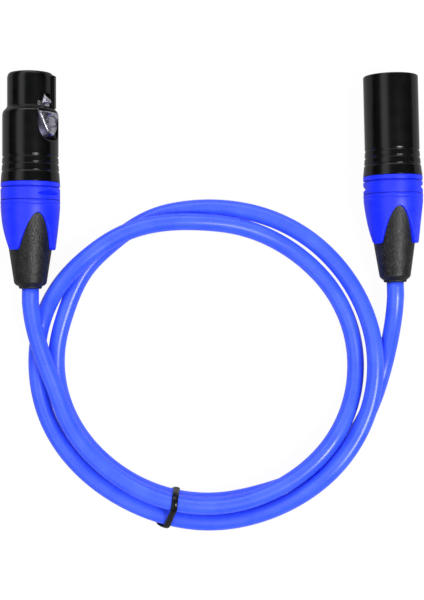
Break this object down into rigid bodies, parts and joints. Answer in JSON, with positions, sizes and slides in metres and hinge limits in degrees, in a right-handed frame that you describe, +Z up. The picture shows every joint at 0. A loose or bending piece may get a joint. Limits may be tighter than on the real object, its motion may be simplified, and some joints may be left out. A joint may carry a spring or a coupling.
{
  "type": "xlr cable coil",
  "caption": "Coiled and tied microphone cable with a latching female and a male round three-pole connector, each with a screw-on boot.",
  "frame": {"origin": "on the surface that the part lies on, midway between the two connectors and midway along them", "axes": "+X from the female to the male connector, +Y towards the connectors' noses, +Z up"},
  "size_m": [0.1481, 0.1611, 0.0208],
  "materials": {
    "shell": "black coated die-cast zinc, satin gloss",
    "insert": "black moulded plastic",
    "contact": "gold plated",
    "latch": "bright nickel plated",
    "steel": "plain",
    "chuck": "natural acetal",
    "boot": "blue moulded plastic, slightly satin",
    "tail": "black moulded rubber, finely pitted",
    "jacket": "blue flexible PVC, soft gloss",
    "core_red": "insulation",
    "core_white": "insulation",
    "shield": "twisted copper shield",
    "tie": "black, glossy"
  },
  "bodies": {
    "root": {"female_housing": "shell", "female_nose_shell": "shell", "female_insert": "insert", "female_contact_1": "contact", "female_contact_2": "contact", "female_contact_3": "contact", "latch_pin": "steel", "latch_spring": "steel", "female_ground_clip": "steel", "female_chuck": "chuck", "female_cable_end": "jacket", "female_core_red": "core_red", "female_core_white": "core_white", "female_shield_tail": "shield", "male_housing": "shell", "male_insert": "insert", "pin_contact_1": "contact", "pin_contact_2": "contact", "pin_contact_3": "contact", "male_ground_clip": "steel", "male_chuck": "chuck", "male_cable_end": "jacket", "male_core_red": "core_red", "male_core_white": "core_white", "male_shield_tail": "shield", "cable_lead_female": "jacket", "cable_coil": "jacket", "cable_lead_male": "jacket", "cable_tie": "tie"},
    "latch": {"latch_lever": "latch"},
    "female_ring": {"female_coding_ring": "boot"},
    "female_boot": {"female_boot_collar": "boot", "female_boot_tail": "tail"},
    "male_ring": {"male_coding_ring": "boot"},
    "male_boot": {"male_boot_collar": "boot", "male_boot_tail": "tail"}
  },
  "joints": [
    {"name": "latch_press", "type": "hinge", "parent": "root", "child": "latch", "pos_m": [-0.0577, 0.01595, 0.01406], "axis": [-0.5299, 0, 0.848], "range_deg": [0, 4], "stiffness_Nm_per_rad": 0.15, "springref_deg": -5.73, "deforming": ["latch_spring"]},
    {"name": "female_boot_turn", "type": "hinge", "parent": "female_ring", "child": "female_boot", "pos_m": [-0.06355, -0.00065, 0.0104], "axis": [0, -1, 0], "range_deg": [0, 756]},
    {"name": "female_boot_travel", "type": "slide", "parent": "root", "child": "female_ring", "axis": [0, -1, 0], "range_m": [0, 0.003]},
    {"name": "male_boot_turn", "type": "hinge", "parent": "male_ring", "child": "male_boot", "pos_m": [0.06355, 0.00165, 0.0104], "axis": [0.0236, -0.9997, 0], "range_deg": [0, 756]},
    {"name": "male_boot_travel", "type": "slide", "parent": "root", "child": "male_ring", "axis": [0.0236, -0.9997, 0], "range_m": [0, 0.003]}
  ],
  "couplings": [
    {"joint": "female_boot_turn", "follows": "female_boot_travel", "rad_per_m": 4188.8},
    {"joint": "male_boot_turn", "follows": "male_boot_travel", "rad_per_m": 4188.8}
  ]
}
